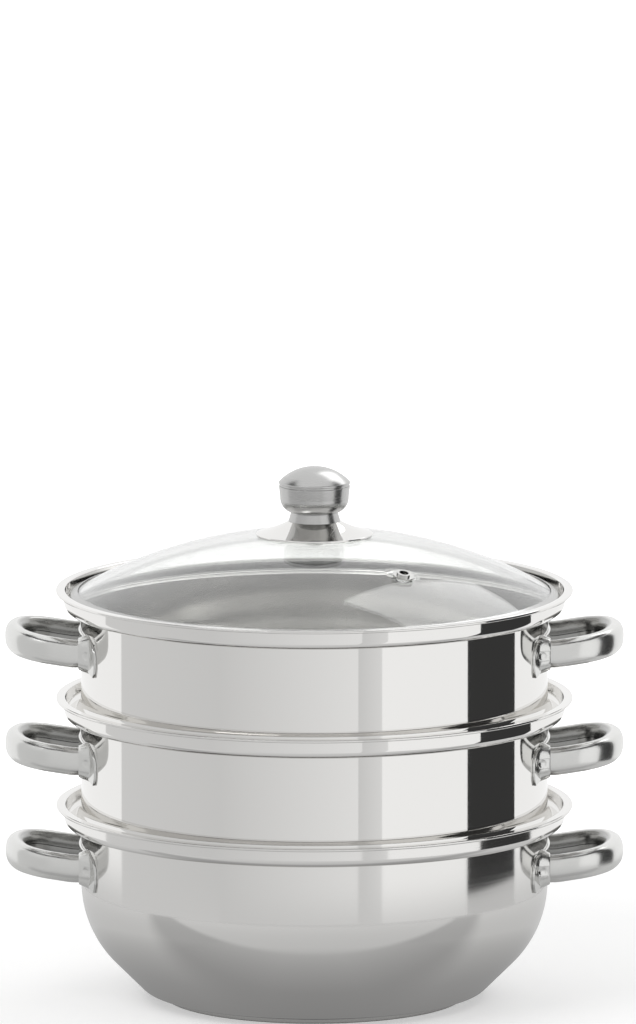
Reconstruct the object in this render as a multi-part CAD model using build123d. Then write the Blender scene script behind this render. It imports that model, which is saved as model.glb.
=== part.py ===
from build123d import *
import math
import os

# Steamer pot of stainless steel: a rounded pot, two perforated steamer tiers and a domed
# glass lid, stacked and seated as they stand on the hob. Lengths are millimetres, +Z is up,
# the origin is the middle of the underside and the handles lie on the X axis.

# Sheet and rim, alike on the pot and on both tiers
SHEET = 0.8
WALL_RADIUS = 131.0        # outside of the straight wall
COLLAR_STEP = 9.5          # how far the collar stands out from the wall
RIM_OVERHANG = 4.5         # how far the rim stands out from the collar
RIM_THICKNESS = 1.6        # the rim's sheet is folded back under itself
RIM_ROUNDING = 0.6
SEAT_DEPTH = 9.0           # from the rim's top down to the ledge inside
LEDGE_STEP = 1.6           # drop from the ledge to the narrow one inside it
LEDGE_STEP_WIDTH = 1.8     # width of the narrow one

# Pot
POT_HEIGHT = 110.0
BELLY_CORNER_HEIGHT = 40.1 # where the lines of the wall and of the slope would meet
BELLY_SLOPE = 45.0         # degrees from level
BELLY_RADIUS = 60.0        # large curve from the wall into the slope
HEEL_RADIUS = 20.0         # curve from the slope into the flat bottom

# Heat-spreading base: an aluminium disc in a steel cap
BASE_RADIUS = 85.0
BASE_HEIGHT = 4.0
BASE_SHEET = 0.6
BASE_ROUNDING = 1.0

# Steamer tier
TIER_HEIGHT = 82.0
SPIGOT_CLEARANCE = 3.0     # round the spigot, to the wall that it enters
SPIGOT_HEIGHT = 12.0       # from the floor up to the shoulder that rests on the ledge
SPIGOT_ROUNDING = 4.0      # round the floor's edge
BEAD_DEPTH = 3.4           # how far the bead stands out from the wall
BEAD_LAND = 2.4
BEAD_RISE = 5.0            # from the bead's edge back to the wall
BEAD_ROUNDING = 1.0

# Holes in the floor of a tier
HOLE_RADIUS = 2.75
HOLE_PITCH = 12.5
CLUSTER_COUNT = 8
CLUSTER_ROWS = 4           # one hole in the innermost row, one more in each row outwards
CLUSTER_MARGIN = 19.2      # from the outermost row out to the side of the spigot
CENTRE_RING_RADIUS = 26.0
CENTRE_RING_COUNT = 8

# Grip, an oval tube bent to a bow
LEG_SPACING = 65.0         # between the middles of the two legs
GRIP_PROJECTION = 42.5     # from the wall to the grip's outside
GRIP_HEIGHT = 15.5
GRIP_THICKNESS = 11.0
GRIP_CORNER = 5.0          # rounding of the tube's section
GRIP_WALL = 1.0
BOW_RADIUS = 62.0          # middle line of the bow's front
BOW_ANGLE = 18.0           # degrees that the front covers to each side
GRIP_DROP = 24.0           # from the rim's top down to the grip's top

# Bracket, a pressed plate that hugs the wall and takes both legs
BRACKET_SHEET = 1.2
WING_REACH = 48.5          # from the middle to the end of a wing's shoulder
WING_REACH_DROP = 3.9      # how far below the leg's middle that end lies
WING_SHOULDER = 1.2        # how far a wing rises above the leg
WING_DIP = 3.6             # how far its tip reaches below the leg
WING_TIP_INSET = 2.0       # from the end of the shoulder back to the tip
WING_BULGE = 0.5           # roundness of the wing's end between them
WAIST_HEIGHT = 12.0        # of the strip between the legs
SOCKET_DEPTH = 3.6         # from the plate to the socket's mouth
SOCKET_WALL = 1.0
SOCKET_TAPER = 24.0        # degrees of the socket's flare
DIMPLE_OFFSET = 11.0       # spot weld beside each leg, from the leg's middle
DIMPLE_RADIUS = 2.2
DIMPLE_DEPTH = 0.5

# Lid
BAND_CLEARANCE = 2.7       # from the steel band to the collar round it
BAND_SHEET = 0.6
BAND_LIP = 4.4             # how far the band's lips reach over the glass
GLASS_THICKNESS = 4.0
GLASS_RISE = 36.0          # of the dome's outside above its edge
VENT_DISTANCE = 86.0       # from the lid's middle
VENT_AZIMUTH = -55.0       # degrees from +X
VENT_HOLE_RADIUS = 4.0
VENT_BORE_RADIUS = 2.6
VENT_FLANGE_RADIUS = 6.2
VENT_SHEET = 0.8
VENT_COLLAR = 1.2          # raised ring round the vent's bore

# Knob, from the glass upwards
PLATE_RADIUS = 32.5
PLATE_EDGE = 1.0
PLATE_RISE = 6.0           # of the plate above the glass at its middle
PLATE_SAG = 0.8            # hollow of its upper side
NECK_RADIUS = 13.0
NECK_FLARE = 1.6
NECK_HEIGHT = 5.5
KNOB_FOOT_RADIUS = 14.5
KNOB_RADIUS = 20.0
BOWL_HEIGHT = 8.0
BOWL_BULGE = 1.6
CUFF_HEIGHT = 6.5
CUFF_FLARE = 0.7
GROOVE_WIDTH = 1.0
GROOVE_DEPTH = 0.8
KNOB_WALL = 1.6
CAP_RIM_HEIGHT = 1.2
CAP_RISE = 8.6
BOSS_RADIUS = 5.0

# Screw, washer and seal that hold the knob
SCREW_RADIUS = 2.4
SCREW_CLEARANCE = 0.15
SCREW_ENGAGEMENT = 10.0
HEAD_RADIUS = 4.6
HEAD_HEIGHT = 2.6
DRIVE_WIDTH = 1.2
DRIVE_DEPTH = 1.2
WASHER_RADIUS = 9.0
WASHER_THICKNESS = 1.0
SEAL_RADIUS = 8.0
SEAL_THICKNESS = 1.6
GLASS_HOLE_RADIUS = 4.0

# Fits and cuts
FIT = 0.1                  # between pieces that are pressed, welded or crimped together
OVERRUN = 5.0              # how far a cutter runs past what it cuts

# Radii and levels that follow from the sizes above
collar_radius = WALL_RADIUS + COLLAR_STEP
collar_inside = collar_radius - SHEET
rim_radius = collar_radius + RIM_OVERHANG
wall_inside = WALL_RADIUS - SHEET
ledge_radius = wall_inside + LEDGE_STEP_WIDTH
spigot_radius = wall_inside - SPIGOT_CLEARANCE
bracket_inside = WALL_RADIUS + FIT
bracket_outside = bracket_inside + BRACKET_SHEET
grip_middle = WALL_RADIUS + GRIP_PROJECTION - GRIP_THICKNESS / 2
leg_offset = LEG_SPACING / 2
band_radius = collar_inside - BAND_CLEARANCE
glass_radius = band_radius - BAND_SHEET - FIT

# Each tier stands with its shoulder on the ledge of the vessel below
lower_tier_level = POT_HEIGHT - SEAT_DEPTH - SPIGOT_HEIGHT
upper_tier_level = lower_tier_level + TIER_HEIGHT - SEAT_DEPTH - SPIGOT_HEIGHT
lid_level = upper_tier_level + TIER_HEIGHT - SEAT_DEPTH

# The dome is part of a sphere: its radius, and levels of its centre and tops above the lid's
# underside
dome_radius = (glass_radius**2 + GLASS_RISE**2) / (2 * GLASS_RISE)
dome_underside = dome_radius - GLASS_THICKNESS
edge_underside = BAND_SHEET + FIT
dome_centre = edge_underside - math.sqrt(dome_underside**2 - glass_radius**2)
glass_top = dome_centre + dome_radius
glass_bottom = dome_centre + dome_underside


def revolved(outline):
    """Solid of revolution round Z from a closed outline of (radius, height) points."""
    with BuildSketch(Plane.XZ) as section:
        with BuildLine():
            Polyline(*outline, close=True)
        make_face()
    return revolve(section.sketch, Axis.Z)


def vessel(outline, roundings, height):
    """Open sheet vessel from its outside outline, with a ledge, a collar and a rim on top."""
    ledge = height - SEAT_DEPTH - SHEET
    neck = [
        (WALL_RADIUS, ledge - LEDGE_STEP),
        (ledge_radius + SHEET, ledge - LEDGE_STEP),
        (ledge_radius + SHEET, ledge),
        (collar_radius, ledge),
        (collar_radius, height),
    ]
    sharp_corners = [0] * (len(neck) - 1)
    with BuildSketch(Plane.XZ) as section:
        with BuildLine():
            FilletPolyline(*outline, *neck, radius=roundings + sharp_corners)
            Polyline(neck[-1], (0, height), outline[0])
        make_face()
    filled = revolve(section.sketch, Axis.Z)
    mouth = filled.faces().sort_by(Axis.Z)[-1]
    shell = offset(filled, amount=-SHEET, openings=mouth, kind=Kind.INTERSECTION)
    rim = revolved([
        (collar_inside, height - RIM_THICKNESS),
        (rim_radius, height - RIM_THICKNESS),
        (rim_radius, height),
        (collar_inside, height),
    ])
    outer_edges = rim.edges().filter_by(GeomType.CIRCLE).sort_by(SortBy.RADIUS)[-2:]
    return shell + fillet(outer_edges, RIM_ROUNDING)


def pot_body():
    heel_run = (BELLY_CORNER_HEIGHT - BASE_HEIGHT) / math.tan(math.radians(BELLY_SLOPE))
    outline = [
        (0, BASE_HEIGHT),
        (WALL_RADIUS - heel_run, BASE_HEIGHT),
        (WALL_RADIUS, BELLY_CORNER_HEIGHT),
    ]
    return vessel(outline, [HEEL_RADIUS, BELLY_RADIUS], POT_HEIGHT)


def base_cap():
    """Shallow steel cap under the pot, which covers the aluminium disc."""
    cap = Cylinder(BASE_RADIUS, BASE_HEIGHT, align=(Align.CENTER, Align.CENTER, Align.MIN))
    cap = fillet(cap.edges().sort_by(Axis.Z)[0], BASE_ROUNDING)
    top = cap.faces().sort_by(Axis.Z)[-1]
    return offset(cap, amount=-BASE_SHEET, openings=top, kind=Kind.INTERSECTION)


def base_core():
    radius = BASE_RADIUS - BASE_SHEET - FIT
    thickness = BASE_HEIGHT - BASE_SHEET
    core = Cylinder(radius, thickness, align=(Align.CENTER, Align.CENTER, Align.MIN))
    core = fillet(core.edges().sort_by(Axis.Z)[0], BASE_ROUNDING)
    return Pos(0, 0, BASE_SHEET) * core


def cluster_places():
    """Places of a floor's holes: triangles of rows round a ring of holes and one in the middle."""
    places = [(0, 0)]
    for index in range(CENTRE_RING_COUNT):
        turn = 2 * math.pi * index / CENTRE_RING_COUNT
        places.append((CENTRE_RING_RADIUS * math.cos(turn), CENTRE_RING_RADIUS * math.sin(turn)))
    row_step = HOLE_PITCH * math.sqrt(3) / 2
    for cluster in range(CLUSTER_COUNT):
        turn = 2 * math.pi * (cluster + 1 / 2) / CLUSTER_COUNT
        for row in range(CLUSTER_ROWS):
            out = spigot_radius - CLUSTER_MARGIN - row_step * (CLUSTER_ROWS - 1 - row)
            for column in range(row + 1):
                side = HOLE_PITCH * (column - row / 2)
                x = out * math.cos(turn) - side * math.sin(turn)
                y = out * math.sin(turn) + side * math.cos(turn)
                places.append((x, y))
    return places


def tier_body():
    """Perforated steamer tier: floor, spigot, bead that rests on the ledge below, wall, rim."""
    bead_radius = WALL_RADIUS + BEAD_DEPTH
    bead_top = SPIGOT_HEIGHT + BEAD_LAND
    outline = [
        (0, 0),
        (spigot_radius, 0),
        (spigot_radius, SPIGOT_HEIGHT),
        (bead_radius, SPIGOT_HEIGHT),
        (bead_radius, bead_top),
        (WALL_RADIUS, bead_top + BEAD_RISE),
    ]
    roundings = [SPIGOT_ROUNDING, 0, BEAD_ROUNDING, BEAD_ROUNDING, 0]
    body = vessel(outline, roundings, TIER_HEIGHT)
    with BuildPart() as punches:
        with Locations(*[(x, y, SHEET / 2) for x, y in cluster_places()]):
            Cylinder(HOLE_RADIUS, SHEET + OVERRUN)
    return body - punches.part


def grip_path():
    """Middle line of a grip on the +X side: leg, corner, gently curved front, corner, leg."""
    turn = math.radians(BOW_ANGLE)
    corner = (leg_offset - BOW_RADIUS * math.sin(turn)) / (1 - math.sin(turn))
    front_end = grip_middle - BOW_RADIUS + BOW_RADIUS * math.cos(turn)
    corner_centre = front_end - corner * math.cos(turn)
    leg_line = Line((0, -leg_offset), (corner_centre, -leg_offset))
    near_corner = CenterArc((corner_centre, corner - leg_offset), corner, -90, 90 - BOW_ANGLE)
    front = CenterArc((grip_middle - BOW_RADIUS, 0), BOW_RADIUS, -BOW_ANGLE, 2 * BOW_ANGLE)
    far_corner = CenterArc((corner_centre, leg_offset - corner), corner, BOW_ANGLE, 90 - BOW_ANGLE)
    far_leg = Line((corner_centre, leg_offset), (0, leg_offset))
    return Wire([leg_line, near_corner, front, far_corner, far_leg])


def swept_oval(path, shrink):
    start = Plane(origin=path @ 0, x_dir=(0, 1, 0), z_dir=(1, 0, 0))
    width = GRIP_THICKNESS - 2 * shrink
    height = GRIP_HEIGHT - 2 * shrink
    oval = start * RectangleRounded(width, height, GRIP_CORNER - shrink)
    return sweep(oval, path=path)


def grip():
    """Hollow grip on the +X side, its middle line at height 0, its ends cut to the bracket."""
    path = grip_path()
    tube = swept_oval(path, 0) - swept_oval(path, GRIP_WALL)
    return tube - Cylinder(bracket_outside + FIT, GRIP_HEIGHT + OVERRUN)


def wing(side):
    """Leaf-shaped wing beside the leg on one side, drawn facing along +X."""
    top = GRIP_HEIGHT / 2 + WING_SHOULDER
    bottom = -GRIP_HEIGHT / 2
    leg = side * leg_offset
    leg_edge = side * (leg_offset + GRIP_THICKNESS / 2)
    shoulder_end = (side * WING_REACH, -WING_REACH_DROP)
    bulge = (side * (WING_REACH - WING_TIP_INSET / 2 + WING_BULGE), bottom)
    tip = (side * (WING_REACH - WING_TIP_INSET), bottom - WING_DIP)
    with BuildSketch() as leaf:
        with BuildLine():
            Line((leg, bottom), (leg, top))
            Line((leg, top), (leg_edge, top))
            TangentArc((leg_edge, top), shoulder_end, tangent=(side, 0))
            ThreePointArc(shoulder_end, bulge, tip)
            Line(tip, (leg, bottom))
        make_face()
    return leaf.sketch


def leg_oval(side, extra):
    """Section of a leg, larger by a margin all round."""
    width = GRIP_THICKNESS + 2 * extra
    height = GRIP_HEIGHT + 2 * extra
    return Pos(side * leg_offset, 0) * RectangleRounded(width, height, GRIP_CORNER + extra)


def dimple(across):
    """Ball that presses a shallow spot-weld mark into the plate, at a distance from the middle."""
    ball_radius = (DIMPLE_RADIUS**2 + DIMPLE_DEPTH**2) / (2 * DIMPLE_DEPTH)
    reach = bracket_outside - DIMPLE_DEPTH + ball_radius
    turn = math.asin(across / bracket_outside)
    return Pos(reach * math.cos(turn), reach * math.sin(turn), 0) * Sphere(ball_radius)


def bracket():
    """Pressed plate on the +X side: a strip between the legs, a wing and a socket for each."""
    sides = (-1, 1)
    tall = 2 * GRIP_HEIGHT + OVERRUN
    core = Cylinder(bracket_inside, tall)
    face = Cylinder(bracket_outside, tall)
    waist_middle = GRIP_HEIGHT / 2 + WING_SHOULDER - WAIST_HEIGHT / 2
    outline = Pos(0, waist_middle) * Rectangle(LEG_SPACING, WAIST_HEIGHT)
    outline += [wing(side) for side in sides]
    plate = extrude(Plane.YZ * outline, WALL_RADIUS + OVERRUN) & face
    plate_at_leg = math.sqrt(bracket_outside**2 - leg_offset**2)
    mouth_origin = (plate_at_leg + SOCKET_DEPTH, 0, 0)
    mouth = Plane(origin=mouth_origin, x_dir=(0, 1, 0), z_dir=(-1, 0, 0))
    sockets = []
    leg_rooms = []
    for side in sides:
        socket_oval = mouth * leg_oval(side, SOCKET_WALL)
        sockets.append(extrude(socket_oval, 2 * SOCKET_DEPTH, taper=-SOCKET_TAPER))
        leg_rooms.append(extrude(Plane.YZ * leg_oval(side, FIT), WALL_RADIUS + OVERRUN) - face)
    dimples = [dimple(side * (leg_offset + DIMPLE_OFFSET)) for side in sides]
    return plate + sockets - core - leg_rooms - dimples


def on_right(shape, level):
    """A handle's piece on the +X side of a vessel whose grip is at the given level."""
    return Pos(0, 0, level) * shape


def on_left(shape, level):
    return Pos(0, 0, level) * Rot(0, 0, 180) * shape


def dome_disc(radius):
    """Round section of the dome's sphere, or of one a little off it."""
    return Pos(0, dome_centre) * Circle(radius)


def block(inner, outer, low, high):
    """Rectangle of a section between two radii and two heights."""
    return Pos((inner + outer) / 2, (low + high) / 2) * Rectangle(outer - inner, high - low)


def spun(section):
    """Solid of revolution from a section drawn with radius across and height up."""
    return revolve(Plane.XZ * section, Axis.Z)


def vent_place():
    """Frame on the dome's sphere centre that faces out through the vent."""
    tilt = math.degrees(math.asin(VENT_DISTANCE / dome_radius))
    return Pos(0, 0, dome_centre) * Rot(0, 0, VENT_AZIMUTH) * Rot(0, tilt, 0)


def lid_glass():
    """Domed glass with a hole for the knob's screw and one for the vent."""
    clip = block(GLASS_HOLE_RADIUS, glass_radius, 0, glass_top)
    glass = spun((dome_disc(dome_radius) - dome_disc(dome_underside)) & clip)
    drill = Pos(0, 0, dome_radius) * Cylinder(VENT_HOLE_RADIUS, 2 * GLASS_THICKNESS + OVERRUN)
    return glass - vent_place() * drill


def lid_band():
    """Steel band crimped round the glass: a wall with a lip under and a lip over the edge."""
    lip_radius = band_radius - BAND_LIP
    outside = block(lip_radius, band_radius, 0, glass_top)
    outside &= dome_disc(dome_radius + FIT + BAND_SHEET)
    inside = block(0, band_radius - BAND_SHEET, BAND_SHEET, glass_top)
    inside &= dome_disc(dome_radius + FIT)
    return spun(outside - inside)


def vent_eyelet():
    """Steel eyelet crimped through the glass, with a bore that lets the steam out."""
    upper = dome_radius + FIT
    lower = math.sqrt(dome_underside**2 - VENT_FLANGE_RADIUS**2) - FIT
    tube_radius = VENT_HOLE_RADIUS - FIT
    section = block(VENT_BORE_RADIUS, VENT_FLANGE_RADIUS, upper, upper + VENT_SHEET)
    section += block(VENT_BORE_RADIUS, VENT_HOLE_RADIUS, upper, upper + VENT_SHEET + VENT_COLLAR)
    section += block(VENT_BORE_RADIUS, tube_radius, lower, upper)
    section += block(VENT_BORE_RADIUS, VENT_FLANGE_RADIUS, lower - VENT_SHEET, lower)
    return vent_place() * spun(section)


# Heights in the knob, above the lid's underside
plate_top = glass_top + PLATE_RISE
knob_foot = plate_top + NECK_HEIGHT
cuff_foot = knob_foot + BOWL_HEIGHT
cuff_top = cuff_foot + CUFF_HEIGHT
cap_foot = cuff_top + GROOVE_WIDTH
seal_foot = glass_bottom - SEAL_THICKNESS
washer_foot = seal_foot - WASHER_THICKNESS
screw_hole = SCREW_RADIUS + SCREW_CLEARANCE


def knob_plate():
    """Wide polished seat of the knob, its underside shaped to the dome."""
    rest_radius = dome_radius + FIT
    edge = dome_centre + math.sqrt(rest_radius**2 - PLATE_RADIUS**2)
    neck_edge = NECK_RADIUS + NECK_FLARE
    middle = ((PLATE_RADIUS + neck_edge) / 2, (edge + PLATE_EDGE + plate_top) / 2 - PLATE_SAG)
    with BuildSketch() as section:
        with BuildLine():
            Polyline((neck_edge, plate_top), (screw_hole, plate_top), (screw_hole, edge))
            Polyline((screw_hole, edge), (PLATE_RADIUS, edge), (PLATE_RADIUS, edge + PLATE_EDGE))
            ThreePointArc((PLATE_RADIUS, edge + PLATE_EDGE), middle, (neck_edge, plate_top))
        make_face()
    return spun(section.sketch - dome_disc(rest_radius))


def knob_neck():
    """Short flared neck between the plate and the knob."""
    return revolved([
        (screw_hole, plate_top),
        (NECK_RADIUS + NECK_FLARE, plate_top),
        (NECK_RADIUS, knob_foot),
        (screw_hole, knob_foot),
    ])


def knob_body():
    """Hollow bowl of the knob with a cuff, a groove under the cap and a boss for the screw."""
    cuff_radius = KNOB_RADIUS - CUFF_FLARE
    neck_of_groove = KNOB_RADIUS - GROOVE_DEPTH
    bulge = ((KNOB_FOOT_RADIUS + cuff_radius) / 2 + BOWL_BULGE, (knob_foot + cuff_foot) / 2)
    with BuildSketch() as section:
        with BuildLine():
            ThreePointArc((KNOB_FOOT_RADIUS, knob_foot), bulge, (cuff_radius, cuff_foot))
            Polyline((cuff_radius, cuff_foot), (KNOB_RADIUS, cuff_top), (neck_of_groove, cuff_top))
            Polyline((neck_of_groove, cuff_top), (neck_of_groove, cap_foot), (screw_hole, cap_foot))
            Polyline((screw_hole, cap_foot), (screw_hole, knob_foot), (KNOB_FOOT_RADIUS, knob_foot))
        make_face()
    hollow = block(BOSS_RADIUS, KNOB_FOOT_RADIUS - KNOB_WALL, knob_foot + KNOB_WALL, cap_foot)
    return spun(section.sketch - hollow)


def knob_cap():
    """Domed steel cap that closes the knob."""
    crown_radius = (KNOB_RADIUS**2 + CAP_RISE**2) / (2 * CAP_RISE)
    crown_foot = cap_foot + CAP_RIM_HEIGHT
    centre = crown_foot + CAP_RISE - crown_radius
    crown = Pos(0, centre) * (Circle(crown_radius) - Circle(crown_radius - KNOB_WALL))
    section = crown & block(0, KNOB_RADIUS, crown_foot, crown_foot + CAP_RISE)
    section += block(KNOB_RADIUS - GROOVE_DEPTH - KNOB_WALL, KNOB_RADIUS, cap_foot, crown_foot)
    return spun(section)


def knob_seal():
    """Silicone bush: a disc under the glass and a sleeve in its hole."""
    sleeve = block(screw_hole, GLASS_HOLE_RADIUS - FIT, seal_foot, glass_top)
    disc = block(screw_hole, SEAL_RADIUS, seal_foot, glass_bottom) & dome_disc(dome_underside - FIT)
    return spun(sleeve + disc)


def knob_washer():
    return spun(block(screw_hole, WASHER_RADIUS, washer_foot, seal_foot))


def knob_screw():
    """Screw from inside the lid up into the knob's boss, with a slot in its head."""
    head_foot = washer_foot - HEAD_HEIGHT
    shank = block(0, SCREW_RADIUS, head_foot, knob_foot + SCREW_ENGAGEMENT)
    head = block(0, HEAD_RADIUS, head_foot, washer_foot)
    slot = Pos(0, 0, head_foot) * Box(2 * HEAD_RADIUS + OVERRUN, DRIVE_WIDTH, 2 * DRIVE_DEPTH)
    return spun(shank + head) - slot


def build_nodes():
    """Every separate piece by name, each in its place on the stacked steamer."""
    nodes = {
        "pot_body": pot_body(),
        "pot_base_cap": base_cap(),
        "pot_base_core": base_core(),
    }
    tier = tier_body()
    nodes["lower_tier_body"] = Pos(0, 0, lower_tier_level) * tier
    nodes["upper_tier_body"] = Pos(0, 0, upper_tier_level) * tier
    rim_levels = {
        "pot": POT_HEIGHT,
        "lower_tier": lower_tier_level + TIER_HEIGHT,
        "upper_tier": upper_tier_level + TIER_HEIGHT,
    }
    handle_pieces = {"grip": grip(), "bracket": bracket()}
    for vessel_name, rim_level in rim_levels.items():
        level = rim_level - GRIP_DROP - GRIP_HEIGHT / 2
        for piece_name, piece in handle_pieces.items():
            nodes[f"{vessel_name}_{piece_name}_right"] = on_right(piece, level)
            nodes[f"{vessel_name}_{piece_name}_left"] = on_left(piece, level)
    lid_pieces = {
        "lid_glass": lid_glass(),
        "lid_band": lid_band(),
        "lid_vent": vent_eyelet(),
        "knob_plate": knob_plate(),
        "knob_neck": knob_neck(),
        "knob_body": knob_body(),
        "knob_cap": knob_cap(),
        "knob_seal": knob_seal(),
        "knob_washer": knob_washer(),
        "knob_screw": knob_screw(),
    }
    for name, piece in lid_pieces.items():
        nodes[name] = Pos(0, 0, lid_level) * piece
    return nodes


os.makedirs("parts", exist_ok=True)
for node_name, shape in build_nodes().items():
    export_step(shape, f"parts/{node_name}.step")
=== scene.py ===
# %% [markdown]
# # A steamer pot in polished steel
# The object is a rounded pot, two perforated steamer tiers and a domed glass lid. Its shapes
# come from a CAD model, and this script gives them their looks. Nearly every piece is steel
# sheet that was spun, pressed or rolled, so most of the work is in three things: thin walls
# with small bending radii, finishes between mirror and satin, and a studio for the steel to
# reflect.

import math
from functools import partial

import bmesh
import bpy
from mathutils import Matrix, Vector


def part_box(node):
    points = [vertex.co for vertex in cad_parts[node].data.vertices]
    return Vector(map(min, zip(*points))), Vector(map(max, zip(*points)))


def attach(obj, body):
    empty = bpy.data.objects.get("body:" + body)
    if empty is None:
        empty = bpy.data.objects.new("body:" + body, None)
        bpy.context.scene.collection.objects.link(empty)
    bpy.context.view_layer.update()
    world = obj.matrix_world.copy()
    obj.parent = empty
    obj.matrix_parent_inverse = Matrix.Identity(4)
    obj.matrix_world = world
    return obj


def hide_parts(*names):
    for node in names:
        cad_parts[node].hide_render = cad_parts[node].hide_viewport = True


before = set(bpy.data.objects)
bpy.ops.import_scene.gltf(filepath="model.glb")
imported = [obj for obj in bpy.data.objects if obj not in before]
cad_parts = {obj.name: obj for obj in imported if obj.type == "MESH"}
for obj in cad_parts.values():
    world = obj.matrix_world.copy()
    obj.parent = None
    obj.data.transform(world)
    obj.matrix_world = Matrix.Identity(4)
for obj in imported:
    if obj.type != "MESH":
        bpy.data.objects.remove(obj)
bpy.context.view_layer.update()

# %% [markdown]
# ## Sizes
# Blender works in metres, and a maker of pans works in millimetres, so lengths are written
# as a number times MM. Whatever the CAD model can tell is read from it. The thickness of the
# sheet and the steps of the neck repeat the values of the CAD source.

# %% Sizes that every vessel shares
MM = 0.001
SHEET = 0.8 * MM
COLLAR_STEP = 9.5 * MM
RIM_OVERHANG = 4.5 * MM
RIM_THICKNESS = 1.6 * MM
SEAT_DEPTH = 9 * MM
LEDGE_STEP = 1.6 * MM
LEDGE_STEP_WIDTH = 1.8 * MM

pot_low, pot_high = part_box("pot_body")
tier_low, tier_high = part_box("lower_tier_body")
rim_radius = pot_high.x
collar_radius = rim_radius - RIM_OVERHANG
wall_radius = collar_radius - COLLAR_STEP
print("Rim, collar and wall radius in mm:",
      [round(radius / MM, 1) for radius in (rim_radius, collar_radius, wall_radius)])

# %% [markdown]
# ## Colours and nodes
# A colour is written as the sRGB hex value that a paint program shows. Blender's shaders add
# light, so they need the linear value, and one function turns the one into the other. A
# second function adds any node with its settings and links, for materials and for Geometry
# Nodes alike. Its inputs are a list in the node's own order, or a dictionary by name. A map
# range, for instance, takes a value, the two ends of its range and the two ends to give.
# Where many nodes go into one tree, add stands for add_node with that tree.

# %% Two helpers for colours and nodes
def linear(hex_colour):
    """Linear red, green, blue and alpha of an sRGB hex colour."""
    parts = [int(hex_colour[start:start + 2], 16) / 255 for start in (0, 2, 4)]
    light = [part / 12.92 if part <= 0.04045 else ((part + 0.055) / 1.055) ** 2.4 for part in parts]
    return (*light, 1.0)


def add_node(tree, kind, inputs=(), **settings):
    """Add a node. An input is a plain value, an output, or a node for its first output."""
    node = tree.nodes.new(kind)
    for name, value in settings.items():
        setattr(node, name, value)
    for name, value in inputs.items() if isinstance(inputs, dict) else enumerate(inputs):
        if isinstance(value, bpy.types.Node):
            value = value.outputs[0]
        if isinstance(value, bpy.types.NodeSocket):
            tree.links.new(value, node.inputs[name])
        else:
            node.inputs[name].default_value = value
    return node


# %% [markdown]
# ## Stainless steel, from mirror to satin
# All the steel here is one alloy, 18/10 stainless, and looks different only by its polish.
# Buffing wheels leave lines that run round the pan, because the pan spins under the wheel.
# Fine lines make a mirror, and coarse ones a satin that smears reflections across them.
# The lines are noise that changes quickly outwards or upwards and slowly round the axis.
# It drives the roughness and a shallow bump. Real lines are a few hundredths of a millimetre
# apart, too fine to show, so they are drawn ten to twenty times as coarse.

# %% A material that its polish has marked
STEEL_COLOUR = "EAE9E7"
LINE_SHORTNESS = 12.0
CLOUD_SPACING = 6 * MM
# Noise seldom leaves this range
NOISE_RANGE = (0.3, 0.7)


def round_lines(tree, spacing):
    """Noise that runs in lines round the vertical axis, at a spacing in metres."""
    add = partial(add_node, tree)
    x, y, z = add("ShaderNodeSeparateXYZ", [add("ShaderNodeTexCoord").outputs["Object"]]).outputs
    flat = add("ShaderNodeCombineXYZ", [x, y])
    radius = add("ShaderNodeVectorMath", [flat], operation="LENGTH").outputs["Value"]
    place = add("ShaderNodeCombineXYZ", [x, y, add("ShaderNodeMath", [radius, z])])
    scale = (LINE_SHORTNESS, LINE_SHORTNESS, 1 / spacing)
    stretched = add("ShaderNodeVectorMath", [place, scale], operation="MULTIPLY")
    return add("ShaderNodeTexNoise",
               {"Vector": stretched, "Scale": 1.0, "Detail": 3.0, "Roughness": 0.6})


def fine_grain(tree, spacing):
    """Noise without direction, at a spacing in metres."""
    place = add_node(tree, "ShaderNodeTexCoord").outputs["Object"]
    return add_node(tree, "ShaderNodeTexNoise",
                    {"Vector": place, "Scale": 1 / spacing, "Detail": 3.0, "Roughness": 0.6})


def worn_material(name, colour, roughness, pattern, spacing, depth, cloudy=False, **sockets):
    """Material marked by a pattern of a given spacing and depth. The marks, or clouds where it
    is cloudy, move its roughness between two values. In a socket's name _ stands for a space."""
    material = bpy.data.materials.new(name)
    material.use_nodes = True
    tree = material.node_tree
    shader = tree.nodes["Principled BSDF"].inputs
    for socket, value in {"Base_Color": linear(colour), **sockets}.items():
        shader[socket.replace("_", " ")].default_value = value
    marks = pattern(tree, spacing)
    gloss = [fine_grain(tree, CLOUD_SPACING), 0.0, 1.0] if cloudy else [marks, *NOISE_RANGE]
    worn = add_node(tree, "ShaderNodeMapRange", [*gloss, *roughness])
    tree.links.new(worn.outputs[0], shader["Roughness"])
    bump = add_node(tree, "ShaderNodeBump", {"Height": marks, "Distance": depth, "Strength": 1.0})
    tree.links.new(bump.outputs[0], shader["Normal"])
    if "Anisotropic" in sockets:
        tangent = add_node(tree, "ShaderNodeTangent", direction_type="RADIAL", axis="Z")
        tree.links.new(tangent.outputs[0], shader["Tangent"])
    return material


# %% Finishes of the steel
# Buffed to a mirror: crisp reflections, only faintly softened
mirror_steel = worn_material(
    "mirror_polished_stainless", STEEL_COLOUR, (0.03, 0.06), round_lines,
    spacing=0.9 * MM, depth=0.0003 * MM, Metallic=1.0)
# The pot's outside stops one wheel earlier: reflections keep their place but lose their edge
POT_COLOUR = "E7E6E4"
soft_mirror_steel = worn_material(
    "soft_polished_stainless", POT_COLOUR, (0.07, 0.11), round_lines,
    spacing=0.7 * MM, depth=0.0004 * MM, Metallic=1.0, Anisotropic=0.2)
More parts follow.
